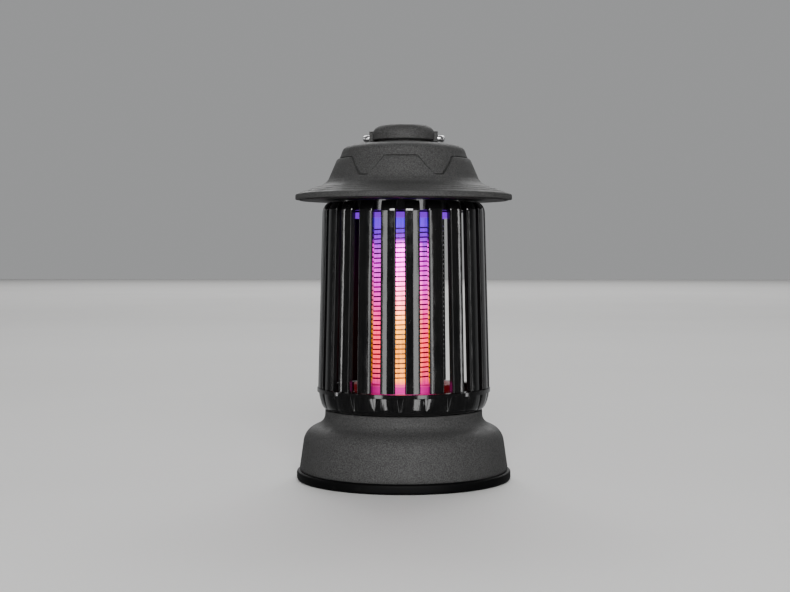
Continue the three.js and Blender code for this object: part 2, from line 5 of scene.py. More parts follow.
import bpy
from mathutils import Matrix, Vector


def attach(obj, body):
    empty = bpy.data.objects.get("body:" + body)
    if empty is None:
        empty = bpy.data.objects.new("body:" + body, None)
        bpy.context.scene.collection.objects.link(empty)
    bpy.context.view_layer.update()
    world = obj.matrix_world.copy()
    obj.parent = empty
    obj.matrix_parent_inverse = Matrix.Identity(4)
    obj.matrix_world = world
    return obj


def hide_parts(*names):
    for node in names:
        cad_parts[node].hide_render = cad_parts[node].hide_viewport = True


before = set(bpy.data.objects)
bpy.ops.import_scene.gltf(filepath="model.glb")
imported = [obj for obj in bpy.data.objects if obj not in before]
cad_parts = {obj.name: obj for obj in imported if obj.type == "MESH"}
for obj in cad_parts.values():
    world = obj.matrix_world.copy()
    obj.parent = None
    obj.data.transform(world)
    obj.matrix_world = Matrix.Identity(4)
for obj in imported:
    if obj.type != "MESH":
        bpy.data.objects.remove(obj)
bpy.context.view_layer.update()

# View. The camera looks level at the upper half of the cage, from a metre away and a touch to the right of
# square on, with a long lens.
DEGREE = math.pi / 180
view_azimuth = 2.3 * DEGREE
view_distance = 1.006
view_height = 0.158
bpy.ops.object.camera_add(
    location=(view_distance * math.sin(view_azimuth), -view_distance * math.cos(view_azimuth), view_height),
    rotation=(math.pi / 2, 0, view_azimuth))
camera = bpy.context.object
camera.data.lens = 66.08
camera.data.shift_x = -0.0110
camera.data.shift_y = -0.0582
camera.data.clip_end = 60
bpy.context.scene.camera = camera


# Floor. A large sheet of pale matte board with a faint tooth, lit by the same lamps as the object. It is
# hidden from gloss, so that the black parts don't mirror it.
class Value:
    """A value on its way through a finish's nodes. Sums and products of values add Math nodes."""

    def __init__(self, finish, socket):
        self.finish = finish
        self.socket = socket

    def math(self, operation, *values):
        return self.finish.node("ShaderNodeMath", {"operation": operation}, dict(enumerate(values)))

    def __add__(self, other):
        return self.math("ADD", self, other)

    def __radd__(self, other):
        return self.math("ADD", other, self)

    def __sub__(self, other):
        return self.math("SUBTRACT", self, other)

    def __rsub__(self, other):
        return self.math("SUBTRACT", other, self)

    def __mul__(self, other):
        return self.math("MULTIPLY", self, other)

    def __rmul__(self, other):
        return self.math("MULTIPLY", other, self)


class Finish:
    """A node material for one of the object's finishes."""

    def __init__(self, name):
        self.material = bpy.data.materials.new(name)
        self.material.use_nodes = True
        self.tree = self.material.node_tree
        self.tree.nodes.clear()
        self.place = self.node("ShaderNodeTexCoord", output="Object")

    def node(self, kind, settings=None, inputs=None, output=0):
        """Adds a node with its settings, then links or sets its sockets, and gives one output."""
        node = self.tree.nodes.new(kind)
        for key, setting in (settings or {}).items():
            if key == "stops":
                ramp = node.color_ramp
                while len(ramp.elements) < len(setting):
                    ramp.elements.new(0.5)
                for element, (position, colour) in zip(ramp.elements, setting):
                    element.position = position
                    element.color = (*colour, 1)
            else:
                setattr(node, key, setting)
        for key, value in (inputs or {}).items():
            socket = node.inputs[key]
            if isinstance(value, Value):
                self.tree.links.new(value.socket, socket)
            else:
                socket.default_value = (*value, 1) if socket.type == "RGBA" else value
        return Value(self, node.outputs[output])

    def noise(self, size, detail=3, roughness=0.5, place=None, distortion=0):
        """Cloudy variation from 0 to 1 with features of about this size in metres."""
        return self.node("ShaderNodeTexNoise", None, {
            "Vector": place or self.place, "Scale": 1 / size, "Detail": detail,
            "Roughness": roughness, "Distortion": distortion})

    def between(self, value, low, high, low_out=0, high_out=1):
        """The value's range from low to high, spread over low_out to high_out and held at its ends."""
        return self.node("ShaderNodeMapRange", {"clamp": True}, {
            "Value": value, "From Min": low, "From Max": high, "To Min": low_out, "To Max": high_out})

    def specks(self, scale, core, edge):
        """1 on scattered specks, 0 between them."""
        inputs = {"Vector": self.place, "Scale": scale}
        return self.between(self.node("ShaderNodeTexVoronoi", {"feature": "F1"}, inputs), core, edge, 1, 0)

    def stretched(self, scale, turn=(0, 0, 0)):
        """The piece's own coordinates scaled and then turned, for a pattern that runs in lines."""
        return self.node("ShaderNodeMapping", None, {
            "Vector": self.place, "Rotation": turn, "Scale": scale})

    def along(self, axis, vector=None):
        """One coordinate of a place on the piece, in metres, or of another vector."""
        return self.node("ShaderNodeSeparateXYZ", None, {0: vector or self.place}, axis)

    def upward(self):
        """1 on faces that look up, 0 on walls and undersides."""
        normal = self.node("ShaderNodeNewGeometry", output="Normal")
        return self.between(self.along("Z", normal), 0.55, 0.95)

    def toward_lamps(self):
        """1 at the front and back of an upright piece, where the lamps face, and 0 at its sides."""
        bearing = self.node("ShaderNodeTexGradient", {"gradient_type": "RADIAL"}, {"Vector": self.place})
        depth = bearing.math("SINE", bearing * (2 * math.pi))
        return depth * depth

    def blend(self, factor, first, second):
        """A colour that goes from the first to the second as the factor goes from 0 to 1."""
        return self.node("ShaderNodeMix", {"data_type": "RGBA"}, {0: factor, 6: first, 7: second}, 2)

    def bump(self, height, distance, strength=1.0, under=None):
        """A relief of this depth in metres, over the one under it."""
        inputs = {"Height": height, "Distance": distance, "Strength": strength}
        if under:
            inputs["Normal"] = under
        return self.node("ShaderNodeBump", None, inputs)

    def surface(self, **sockets):
        """Closes the material with a Principled surface; names use _ for a space."""
        shader = self.node("ShaderNodeBsdfPrincipled", None,
                           {name.replace("_", " "): value for name, value in sockets.items()})
        end = self.tree.nodes.new("ShaderNodeOutputMaterial")
        self.tree.links.new(shader.socket, end.inputs["Surface"])
        return self.material


FLOOR_WIDTH = 13.6
bpy.ops.object.select_all(action="DESELECT")
bpy.ops.mesh.primitive_plane_add(size=FLOOR_WIDTH, location=(0, 0, 0))
floor = bpy.context.object
floor.name = "floor"
board = Finish("pale_floor")
tooth = board.noise(0.004, 5, 0.6)
cloud = board.noise(0.5, 2)
floor.data.materials.append(board.surface(
    Base_Color=board.blend(cloud, (0.70, 0.695, 0.685), (0.78, 0.775, 0.765)),
    Roughness=board.between(tooth, 0.3, 0.7, 0.62, 0.8),
    Normal=board.bump(tooth, 0.0004, 0.25)))
floor.visible_glossy = False

# Lights. Two tall softboxes either side of the camera draw the strips down the glossy bars; they reach down
# below the floor, so the tray's undercut wall catches them too. Two narrow ones at the sides draw the bars'
# edges, a broad one above the camera shapes the matte parts, and three behind light the top and the floor.
OBJECT_MIDDLE = 0.13


def softbox(name, azimuth, distance, height, size, watts):
    """A lamp turned to the axis: level if it is a tall one, and tilted at the object's middle if not."""
    turn = azimuth * DEGREE
    place = Vector((distance * math.sin(turn), -distance * math.cos(turn), height))
    aim = Vector((0, 0, height if size[1] > size[0] else OBJECT_MIDDLE)) - place
    bpy.ops.object.light_add(type="AREA", location=place, rotation=aim.to_track_quat("-Z", "Y").to_euler())
    lamp = bpy.context.object
    lamp.name = name
    lamp.visible_camera = False
    lamp.data.shape = "RECTANGLE"
    lamp.data.size, lamp.data.size_y = size
    lamp.data.energy = watts


softbox("softbox_left", -30, 1.25, -0.36, (0.22, 1.6), 5.6)
softbox("softbox_right", 25.8, 1.25, -0.36, (0.25, 1.6), 6.4)
softbox("edge_left", -95, 1.3, 0.30, (0.07, 1.1), 1.6)
softbox("edge_right", 92, 1.3, 0.30, (0.07, 1.1), 1.6)
softbox("fill_front", 4, 2.4, 1.1, (1.2, 0.8), 70)
softbox("rear_left", -150, 1.7, 1.6, (0.8, 0.7), 5)
softbox("rear_right", 150, 1.7, 1.6, (0.8, 0.7), 5)
softbox("backdrop_wash", 180, 5.5, 3.6, (5.0, 3.0), 220)

# The room is dark behind the camera, to keep the gloss black, and pale beyond the object.
room = bpy.data.worlds.new("room")
room.use_nodes = True
backdrop = room.node_tree
direction = backdrop.nodes.new("ShaderNodeTexCoord")
depth = backdrop.nodes.new("ShaderNodeSeparateXYZ")
glow = backdrop.nodes.new("ShaderNodeMapRange")
for key, number in {"From Min": 0.2, "From Max": 0.95, "To Min": 0.065, "To Max": 0.34}.items():
    glow.inputs[key].default_value = number
glow.interpolation_type = "SMOOTHSTEP"
backdrop.links.new(direction.outputs["Generated"], depth.inputs[0])
backdrop.links.new(depth.outputs["Y"], glow.inputs["Value"])
backdrop.links.new(glow.outputs[0], backdrop.nodes["Background"].inputs["Strength"])
backdrop.nodes["Background"].inputs["Color"].default_value = (0.98, 0.99, 1.0, 1)
bpy.context.scene.world = room

# Foot ring. A ring of black rubber pushed onto the edge of the base, which the whole object stands on. It
# is moulded, with a rounded outer edge and a fine matte skin.
MM = 0.001


def bend(start, control, end, steps=6):
    """Points after start on a smooth bend from start to end, pulled towards control."""
    points = []
    for step in range(1, steps + 1):
        t = step / steps
        points.append(tuple((1 - t) ** 2 * a + 2 * t * (1 - t) * b + t * t * c
                            for a, b, c in zip(start, control, end)))
    return points


def drawn(name, points):
    """A chain of edges through points in millimetres, left in edit mode and all selected."""
    if bpy.context.object and bpy.context.object.mode != "OBJECT":
        bpy.ops.object.mode_set(mode="OBJECT")
    bpy.ops.object.select_all(action="DESELECT")
    bpy.ops.mesh.primitive_plane_add(size=0.001, location=(0, 0, 0))
    piece = bpy.context.object
    piece.name = piece.data.name = name
    bpy.ops.object.mode_set(mode="EDIT")
    bpy.ops.mesh.select_mode(type="VERT")
    bpy.ops.mesh.select_all(action="SELECT")
    bpy.ops.mesh.merge(type="CENTER")
    here = Vector((0, 0, 0))
    for count, point in enumerate(points):
        step = (Vector(point) * MM) - here
        here += step
        if count:
            bpy.ops.mesh.extrude_vertices_move(TRANSFORM_OT_translate={"value": step})
        else:
            bpy.ops.transform.translate(value=step)
    bpy.ops.mesh.select_all(action="SELECT")
    return piece


def finish_mesh(piece, smooth=30):
    """Back in object mode, with faces outward and edges sharper than the angle left crisp."""
    if bpy.context.object.mode != "EDIT":
        bpy.ops.object.mode_set(mode="EDIT")
    bpy.ops.mesh.select_all(action="SELECT")
    bpy.ops.mesh.remove_doubles(threshold=1e-6)
    bpy.ops.mesh.normals_make_consistent(inside=False)
    bpy.ops.object.mode_set(mode="OBJECT")
    bpy.ops.object.shade_smooth_by_angle(angle=smooth * DEGREE)
    return piece


def turned(name, outline, sides=128, smooth=30):
    """A closed wall, drawn as radius and height in millimetres and turned about the upright axis."""
    if outline[0][0] > 0 or outline[-1][0] > 0:
        outline = [*outline, outline[0]]
    piece = drawn(name, [(radius, 0, height) for radius, height in outline])
    bpy.ops.mesh.remove_doubles(threshold=1e-6)
    bpy.ops.mesh.select_all(action="SELECT")
    bpy.ops.mesh.spin(steps=sides, angle=2 * math.pi, center=(0, 0, 0), axis=(0, 0, 1), use_auto_merge=True)
    return finish_mesh(piece, smooth)


def placed(piece, body, finish, slot, *nodes):
    """Gives a piece its finish, and says what it rides on and which plain nodes it stands for."""
    piece.data.materials.clear()
    piece.data.materials.append(finish)
    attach(piece, body)
    if nodes:
        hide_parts(*nodes)
    return piece


rubber = Finish("foot_rubber_moulded")
skin = rubber.noise(0.0006, 4, 0.6)
scuff = rubber.between(rubber.noise(0.009, 4, 0.65), 0.56, 0.74)
foot_rubber = rubber.surface(
    Base_Color=rubber.blend(scuff, (0.0014, 0.0014, 0.0016), (0.0055, 0.0054, 0.0051)),
    Roughness=rubber.between(skin + scuff * 0.3, 0.3, 0.9, 0.50, 0.72),
    Specular_IOR_Level=0.10,
    Normal=rubber.bump(skin, 0.00006, 0.6))

FOOT_BORE = 61
FOOT_RADIUS = 73.9
FOOT_HEIGHT = 6.6
foot_ring = turned("foot_ring_moulded", [
    (FOOT_BORE, 0), (71.9, 0),
    *bend((71.9, 0), (FOOT_RADIUS, 0.2), (FOOT_RADIUS, 2.4)), (FOOT_RADIUS, 5),
    *bend((FOOT_RADIUS, 5), (FOOT_RADIUS, FOOT_HEIGHT), (72.3, FOOT_HEIGHT)), (FOOT_BORE, FOOT_HEIGHT)])
placed(foot_ring, "base", foot_rubber, "foot_rubber", "foot_ring")


# Base shell. One moulding in charcoal ABS with a fine sandy texture: a drum that swells out to the foot and
# sweeps in to a neck under the tray. The rear wall is cut for the flap, the socket, the button and a lens,
# and posts inside take the cover's screws and the main board.
def only(*pieces):
    """Selects these pieces and makes the first one active."""
    bpy.ops.object.select_all(action="DESELECT")
    for piece in pieces:
        piece.select_set(True)
    bpy.context.view_layer.objects.active = pieces[0]


def modified(piece, kind, **settings):
    """Adds a modifier with these settings and applies it."""
    only(piece)
    modifier = piece.modifiers.new(kind, kind)
    for key, value in settings.items():
        setattr(modifier, key, value)
    bpy.ops.object.modifier_apply(modifier=modifier.name)
    return piece


def softened(piece, width, angle=30, segments=2, smooth=30):
    """Rounds the edges sharper than the angle by this many millimetres."""
    modified(piece, "BEVEL", width=width * MM, segments=segments, limit_method="ANGLE",
             angle_limit=angle * DEGREE, use_clamp_overlap=True, miter_outer="MITER_ARC")
    bpy.ops.object.shade_smooth_by_angle(angle=smooth * DEGREE)
    return piece


def block(name, low, high):
    """A box between two corners in millimetres."""
    bpy.ops.object.select_all(action="DESELECT")
    middle = [(a + b) / 2 * MM for a, b in zip(low, high)]
    size = [(b - a) * MM for a, b in zip(low, high)]
    bpy.ops.mesh.primitive_cube_add(size=1, location=middle, scale=size)
    piece = bpy.context.object
    piece.name = piece.data.name = name
    bpy.ops.object.transform_apply(location=True, rotation=True, scale=True)
    return piece


def pin(name, radius, start, end, azimuth, height, sides=48):
    """A cylinder in millimetres that points straight out from the axis at an azimuth."""
    bpy.ops.object.select_all(action="DESELECT")
    middle = (start + end) / 2 * MM
    turn = azimuth * DEGREE
    bpy.ops.mesh.primitive_cylinder_add(
        vertices=sides, radius=radius * MM, depth=(end - start) * MM,
        location=(middle * math.cos(turn), middle * math.sin(turn), height * MM),
        rotation=(0, math.pi / 2, turn))
    piece = bpy.context.object
    piece.name = piece.data.name = name
    bpy.ops.object.transform_apply(location=True, rotation=True, scale=True)
    return piece


def combined(piece, operation, *others):
    """Cuts the others away from the piece, or joins them to it, and removes them."""
    for other in others:
        modified(piece, "BOOLEAN", operation=operation, object=other, solver="EXACT")
        bpy.data.objects.remove(other)
    only(piece)
    bpy.ops.object.shade_smooth_by_angle(angle=30 * DEGREE)
    return piece


def joined(piece, *others):
    """Puts the others' meshes into the piece as separate shells."""
    only(piece, *others)
    bpy.ops.object.join()
    return piece


def post(radius, bottom, top, x, y, sides=24):
    """An upright cylinder in millimetres."""
    bpy.ops.object.select_all(action="DESELECT")
    bpy.ops.mesh.primitive_cylinder_add(vertices=sides, radius=radius * MM, depth=(top - bottom) * MM,
                                        location=(x * MM, y * MM, (top + bottom) / 2 * MM))
    bpy.ops.object.transform_apply(location=True, rotation=True, scale=True)
    return bpy.context.object


def around(radius, azimuth):
    """X and Y of a point this far from the axis at an azimuth."""
    return radius * math.cos(azimuth * DEGREE), radius * math.sin(azimuth * DEGREE)


# Sandy grain, faint mottling, patches smoothed by hands, and dust where faces look up.
HOUSING_COLOUR = (0.0455, 0.0453, 0.0449)
plastic = Finish("charcoal_abs")
grain = plastic.noise(0.0007, 3, 0.6)
coarse = plastic.noise(0.0032, 3, 0.55)
handled = plastic.between(plastic.noise(0.035, 4, 0.6, distortion=0.6), 0.48, 0.68)
dust = plastic.specks(260.0, 0.05, 0.09) * plastic.upward()
dark, light, rubbed = [tuple(share * part for part in HOUSING_COLOUR) for share in (0.50, 1.46, 0.86)]
mottled = plastic.blend(plastic.between(grain * 0.92 + coarse * 0.08, 0.38, 0.62), dark, light)
worn = plastic.blend(handled * 0.22, mottled, rubbed)
housing = plastic.surface(
    Base_Color=plastic.blend(dust * 0.45, worn, (0.30, 0.285, 0.26)),
    Roughness=plastic.between(coarse, 0.3, 0.7, 0.58, 0.70) - handled * 0.09,
    Specular_IOR_Level=0.22,
    Normal=plastic.bump(grain, 0.00016, 0.9, under=plastic.bump(coarse, 0.00018, 0.15)))

DECK_UNDERSIDE = 45.6
DECK_TOP = 48
COLLAR_TOP = 52
CONTROL_HEIGHT = 21.2
BUTTON_AZIMUTH = 62
LENS_AZIMUTH = 76
COVER_SCREW_CIRCLE = 56
SCREW_AZIMUTHS = [30, 150, 270]
base_wall = [
    (71.4, 6.9), (71.7, 7.6), (71.8, 9), (71.2, 13.25), (70.6, 17.5), (70.0, 21.75), (69.4, 26),
    *bend((69.4, 26), (68.4, 34.2), (60.5, 37.2), 14),
    *bend((60.5, 37.2), (54.6, 39.6), (54.4, 44.8), 12), (54.4, 47.4), (53.8, DECK_TOP),
    (40.2, DECK_TOP), (40.2, COLLAR_TOP), (38.4, COLLAR_TOP), (38.4, DECK_TOP), (9, DECK_TOP),
    (9, DECK_UNDERSIDE), (52, DECK_UNDERSIDE), (52, 44.2), (53.4, 38.6), (59, 35.2), (65.4, 31.6),
    (67, 25.6), (69.2, 9.3), (69.2, 6.9)]
base_shell = turned("base_shell_moulded", base_wall, sides=160)
# Each cut runs from inside the wall to outside it; the flap's pocket stops part way through.
INSIDE = 60
POCKET_FLOOR = 68.4
OUTSIDE = 78
combined(base_shell, "DIFFERENCE",
         block("pocket_cut", (-9, POCKET_FLOOR, 15.3), (9, OUTSIDE, 26.8)),
         block("socket_cut", (-5.2, INSIDE, 18.5), (5.2, OUTSIDE, 24.1)),
         pin("lens_cut", 1.9, INSIDE, OUTSIDE, LENS_AZIMUTH, CONTROL_HEIGHT, 32),
         pin("button_cut", 6.4, INSIDE, OUTSIDE, BUTTON_AZIMUTH, CONTROL_HEIGHT, 64))
for azimuth in SCREW_AZIMUTHS:
    boss = post(3.4, 9.6, 38, *around(COVER_SCREW_CIRCLE, azimuth))
    combined(boss, "DIFFERENCE", post(1.8, 9, 24, *around(COVER_SCREW_CIRCLE, azimuth)))
    joined(base_shell, softened(boss, 0.3, angle=50))
board_posts = [softened(post(2.6, 33.1, 47, x, y), 0.3) for x in (-36, 36) for y in (-22, 22)]
joined(base_shell, *board_posts)
placed(base_shell, "base", housing, "housing", "base_shell")


# Bottom cover and screws. A flat plate in plain black ABS, recessed inside the foot ring and held by three
# plated screws. The hat's liner is the same ABS, and all screws and the charging socket are plated alike.
def dressed(finish, *nodes):
    """Gives these plain nodes a finish."""
    for name in nodes:
        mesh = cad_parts[name].data
        mesh.materials.clear()
        mesh.materials.append(finish)


plate = Finish("cover_abs")
plate_grain = plate.noise(0.0011, 5, 0.6)
flow = plate.noise(0.03, 3, 0.5, distortion=1.2)
cover_abs = plate.surface(
    Base_Color=plate.blend(flow, (0.017, 0.0165, 0.016), (0.026, 0.025, 0.0245)),
    Roughness=plate.between(plate_grain, 0.3, 0.7, 0.5, 0.66),
    Normal=plate.bump(plate_grain, 0.00008, 0.6))
dressed(cover_abs, "bottom_cover", "hat_liner")

steel = Finish("zinc_steel")
brushed = steel.noise(0.0005, 4, 0.6)
patina = steel.between(steel.noise(0.002, 4, 0.6), 0.4, 0.7)
zinc_steel = steel.surface(
    Base_Color=steel.blend(patina, (0.60, 0.60, 0.62), (0.40, 0.385, 0.35)),
    Metallic=1.0,
    Roughness=steel.between(brushed, 0.3, 0.7, 0.24, 0.42),
    Normal=steel.bump(brushed, 0.00003, 0.5))
dressed(zinc_steel, *[f"{place}_screw_{number}" for place in ("bottom", "hat") for number in (1, 2, 3)],
        "cap_screw", "charging_socket")

# Battery holder and cells. A cradle in plain black ABS holds two lithium cells, in blue shrink wrap that
# leaves one end's metal bare.
dressed(cover_abs, "battery_holder")

sleeve = Finish("cell_shrink_wrap")
metal_end = sleeve.between(sleeve.along("X"), 0.0304, 0.0306)
crinkle = sleeve.noise(0.004, 3, 0.5, distortion=0.8)
cell_wrap = sleeve.surface(
    Base_Color=sleeve.blend(metal_end, sleeve.blend(crinkle, (0.020, 0.065, 0.24), (0.028, 0.085, 0.30)),
                            (0.62, 0.62, 0.63)),
    Metallic=metal_end,
    Roughness=sleeve.between(crinkle, 0.3, 0.7, 0.26, 0.40),
    Normal=sleeve.bump(crinkle, 0.0002, 0.4))
dressed(cell_wrap, "battery_cell_1", "battery_cell_2")

# Circuit boards. Laminate with green solder mask over copper tracks: the charger and high-voltage board
# under the deck, and the small control board behind the button.
laminate = Finish("circuit_laminate")
tracks = laminate.node("ShaderNodeTexBrick", {"offset": 0.37, "squash": 0.6, "squash_frequency": 3}, {
    "Vector": laminate.place, "Color1": (1, 1, 1), "Color2": (1, 1, 1), "Mortar": (0, 0, 0),
    "Scale": 90.0, "Mortar Size": 0.06, "Brick Width": 0.9, "Row Height": 0.22}, "Fac")
weave = laminate.noise(0.0005, 3)
circuit_green = laminate.surface(
    Base_Color=laminate.blend(tracks, laminate.blend(weave, (0.010, 0.065, 0.022), (0.014, 0.080, 0.028)),
                              (0.030, 0.15, 0.055)),
    Roughness=laminate.between(weave, 0.3, 0.7, 0.28, 0.42),
    Coat_Weight=0.3,
    Normal=laminate.bump(tracks, 0.00004, 0.8, under=laminate.bump(weave, 0.00002, 0.5)))
dressed(circuit_green, "main_board", "control_board")

# Transformer, capacitor and switch. The step-up transformer has a ferrite core through a wound bobbin; the
# capacitor is dipped in amber lacquer; the small switch is black and sits behind the button's stem.
core = Finish("ferrite_core")
pits = core.noise(0.0007, 5, 0.65)
dressed(core.surface(
    Base_Color=core.blend(pits, (0.012, 0.0115, 0.011), (0.034, 0.032, 0.030)),
    Roughness=core.between(pits, 0.3, 0.7, 0.55, 0.8),
    Normal=core.bump(pits, 0.0001, 0.8)), "hv_transformer")

lacquer = Finish("amber_lacquer")
dip = lacquer.noise(0.005, 3, 0.5, distortion=0.5)
dressed(lacquer.surface(
    Base_Color=lacquer.blend(dip, (0.42, 0.13, 0.014), (0.56, 0.20, 0.03)),
    Roughness=lacquer.between(dip, 0.3, 0.7, 0.16, 0.3),
    Coat_Weight=0.5,
    Normal=lacquer.bump(dip, 0.0003, 0.4)), "hv_capacitor")
dressed(cover_abs, "tact_switch")

# Lower grid holder. A waisted block on the deck with six thin posts, which carries the lamp and spaces the
# two wires. It is moulded in dark red translucent plastic. The lamp's light through its upper end is a
# painted glow, brightest where the lamps face.
ruby = Finish("holder_translucent_painted_glow")
skin = ruby.noise(0.0008, 4, 0.6)
knit = ruby.noise(0.012, 3, 0.5, distortion=1.0)
facing_lamps = ruby.between(ruby.toward_lamps(), 0.55, 0.95)
rise = ruby.along("Z")
lit_end = ruby.between(rise, 0.0575, 0.0625) * ruby.between(rise, 0.0661, 0.0700, 1, 0)
end_glow = ruby.blend(facing_lamps, (0.022, 0.0002, 0.0006), (0.34, 0.0, 0.14))
holder_ruby_painted_glow = ruby.surface(
    Base_Color=ruby.blend(knit, (0.024, 0.0035, 0.005), (0.034, 0.005, 0.007)),
    Roughness=ruby.between(skin, 0.3, 0.7, 0.30, 0.46),
    # Painted glow: the lamp's light through the upper end is painted on as emission, brightest facing the
    # lamps.
    Emission_Color=ruby.blend(lit_end * ruby.between(knit, 0.2, 0.8, 0.8, 1.0), (0, 0, 0), end_glow),
    Emission_Strength=4.0,
    Normal=ruby.bump(skin, 0.00005, 0.5))

POST_CIRCLE = 25
POST_AZIMUTHS = [0, 69, 111, 180, 249, 291]
SEAT = 48.3
FLANGE_RADIUS = 34.5
WAIST_RADIUS = 30.5
HOLDER_TOP = 66
lower_holder = turned("lower_grid_holder_moulded", [
    (9, SEAT), (FLANGE_RADIUS, SEAT), (FLANGE_RADIUS, 50.6),
    *bend((FLANGE_RADIUS, 50.6), (WAIST_RADIUS, 51.6), (WAIST_RADIUS, 54)), (WAIST_RADIUS, 57),
    *bend((WAIST_RADIUS, 57), (WAIST_RADIUS, 59.4), (FLANGE_RADIUS, 60.2)), (FLANGE_RADIUS, 61.4),
    (34.1, 61.8), (34.1, 62.4), (FLANGE_RADIUS, 62.8), (FLANGE_RADIUS, HOLDER_TOP), (30.2, HOLDER_TOP),
    (29.9, 65.6), (29.4, 65.6), (29.1, HOLDER_TOP), (9, HOLDER_TOP)])
softened(lower_holder, 0.35)
holder_posts = [softened(post(1.2, 65.4, 182.2, *around(POST_CIRCLE, azimuth)), 0.3)
                for azimuth in POST_AZIMUTHS]
joined(lower_holder, *holder_posts)
placed(lower_holder, "base", holder_ruby_painted_glow, "grid_holder", "lower_grid_holder")

# Upper grid holder. A ring in milky plastic that slides onto the six posts and seats the diffuser's top
# end, and each post comes up into its own hole. The violet light of the lamp's top through it is a painted
# glow.
milky = Finish("holder_milky_painted_glow")
skin = milky.noise(0.0008, 4, 0.6)
veil = milky.noise(0.006, 3, 0.5, distortion=0.8)
holder_milky_painted_glow = milky.surface(
    Base_Color=milky.blend(veil, (0.030, 0.020, 0.060), (0.045, 0.032, 0.085)),
    Roughness=milky.between(skin, 0.3, 0.7, 0.30, 0.46),
    # Painted glow: the lamp's violet light through the ring is painted on as emission.
    Emission_Color=milky.blend(veil, (0.20, 0.004, 0.82), (0.27, 0.008, 1.0)),
    Emission_Strength=1.0,
    Normal=milky.bump(skin, 0.00005, 0.5))
upper_holder = turned("upper_grid_holder_moulded", [
    (23.3, 180), (35.5, 180), (36, 180.5), (36, 183.1), (35.5, 183.6), (18, 183.6), (18, 181.6),
    (23.3, 181.6)])
post_holes = [post(1.5, 178, 186, *around(POST_CIRCLE, azimuth)) for azimuth in POST_AZIMUTHS]
combined(upper_holder, "DIFFERENCE", *post_holes)
placed(upper_holder, "base", holder_milky_painted_glow, "diffuser", "upper_grid_holder")

# Lamp board. Green laminate on edge inside the diffuser with a row of square lamps on each face: violet at
# the top, then magenta, rose and amber towards the foot.
strip = Finish("lamp_board_lit")
out = strip.along("Y")
lamp_face = strip.between(out.math("ABSOLUTE", out), 0.00165, 0.00175)
height = strip.along("Z")
grit = strip.noise(0.0006, 3)
lamp_board_lit = strip.surface(
    Base_Color=strip.blend(lamp_face, strip.blend(grit, (0.010, 0.060, 0.022), (0.016, 0.085, 0.030)),
                           (0.75, 0.72, 0.62)),
    Roughness=strip.between(grit, 0.3, 0.7, 0.3, 0.45),
    Emission_Color=strip.blend(lamp_face, (0, 0, 0), strip.node("ShaderNodeValToRGB", {"stops": [
        (0.0, (1.0, 0.45, 0.08)), (0.5, (1.0, 0.2, 0.35)),
        (0.75, (0.8, 0.1, 0.9)), (1.0, (0.15, 0.05, 1.0))]}, {"Fac": strip.between(height, 0.066, 0.182)})),
    Emission_Strength=6.0,
    Normal=strip.bump(grit, 0.00002, 0.4))
dressed(lamp_board_lit, "uv_lamp_board")

# Diffuser tube. Frosted polycarbonate, lit from inside by the row of lamps. The light turns from violet at
# the top through magenta to amber, and is strongest in front of and behind the board.
diffuser = turned("diffuser_tube_frosted", [
    (21.2, 66.3), (22.5, 66.3), (22.8, 66.6), (22.8, 181.0), (22.5, 181.3), (21.2, 181.3)], sides=96)

GLOW_BOTTOM = 60
GLOW_TOP = 190


def level(height):
    """Where a height in millimetres falls on the glow's scale, from 0 to 1."""
    return (height - GLOW_BOTTOM) / (GLOW_TOP - GLOW_BOTTOM)


frost = Finish("frosted_diffuser")
height = frost.between(frost.along("Z"), GLOW_BOTTOM * MM, GLOW_TOP * MM)
hot = frost.between(frost.toward_lamps(), 0.62, 0.97)
warm = frost.node("ShaderNodeValToRGB", {"stops": [
    (level(66), (0.22, 0.0, 0.040)), (level(70), (0.46, 0.12, 0.0)), (level(78), (0.40, 0.11, 0.0)),
    (level(92), (0.36, 0.105, 0.0)), (level(103), (0.50, 0.17, 0.0)), (level(112), (0.74, 0.21, 0.03)),
    (level(122), (0.80, 0.10, 0.15)), (level(131), (0.95, 0.11, 0.32)), (level(142), (0.90, 0.03, 0.56)),
    (level(152), (0.92, 0.01, 0.72)), (level(160), (0.96, 0.0, 0.80)), (level(165), (0.075, 0.0, 0.18)),
    (level(171), (0.024, 0.0, 0.15)), (level(178), (0.015, 0.0, 0.18)),
    (level(183), (0.019, 0.0, 0.10))]}, {"Fac": height})
cool = frost.node("ShaderNodeValToRGB", {"stops": [
    (level(66), (0.11, 0.0, 0.038)), (level(71), (0.19, 0.002, 0.026)), (level(82), (0.26, 0.006, 0.017)),
    (level(93), (0.31, 0.005, 0.018)), (level(103), (0.30, 0.0, 0.034)), (level(112), (0.26, 0.0, 0.060)),
    (level(121), (0.23, 0.0, 0.105)), (level(135), (0.20, 0.0, 0.15)), (level(149), (0.18, 0.0, 0.17)),
    (level(156), (0.13, 0.0, 0.16)), (level(162), (0.070, 0.0, 0.15)), (level(169), (0.034, 0.0, 0.14)),
    (level(176), (0.022, 0.0, 0.145)), (level(183), (0.019, 0.0, 0.115))]}, {"Fac": height})
streak = frost.noise(1, 3, place=frost.stretched((900, 900, 60)))
frosting = frost.noise(0.0007, 4, 0.6)
banding = frost.noise(0.012, 2)
frosted_diffuser = frost.surface(
    Base_Color=frost.blend(frosting, (0.014, 0.008, 0.020), (0.026, 0.016, 0.034)),
    Roughness=frost.between(frosting, 0.3, 0.7, 0.42, 0.6),
    Specular_IOR_Level=0.2,
    Emission_Color=frost.blend(frost.between(streak, 0.35, 0.65, 0.34, 0.0) + banding * 0.06,
                               frost.blend(hot, cool, warm), (0, 0, 0)),
    Emission_Strength=12.5,
    Normal=frost.bump(frosting, 0.00005, 0.5))
placed(diffuser, "base", frosted_diffuser, "diffuser", "diffuser_tube")

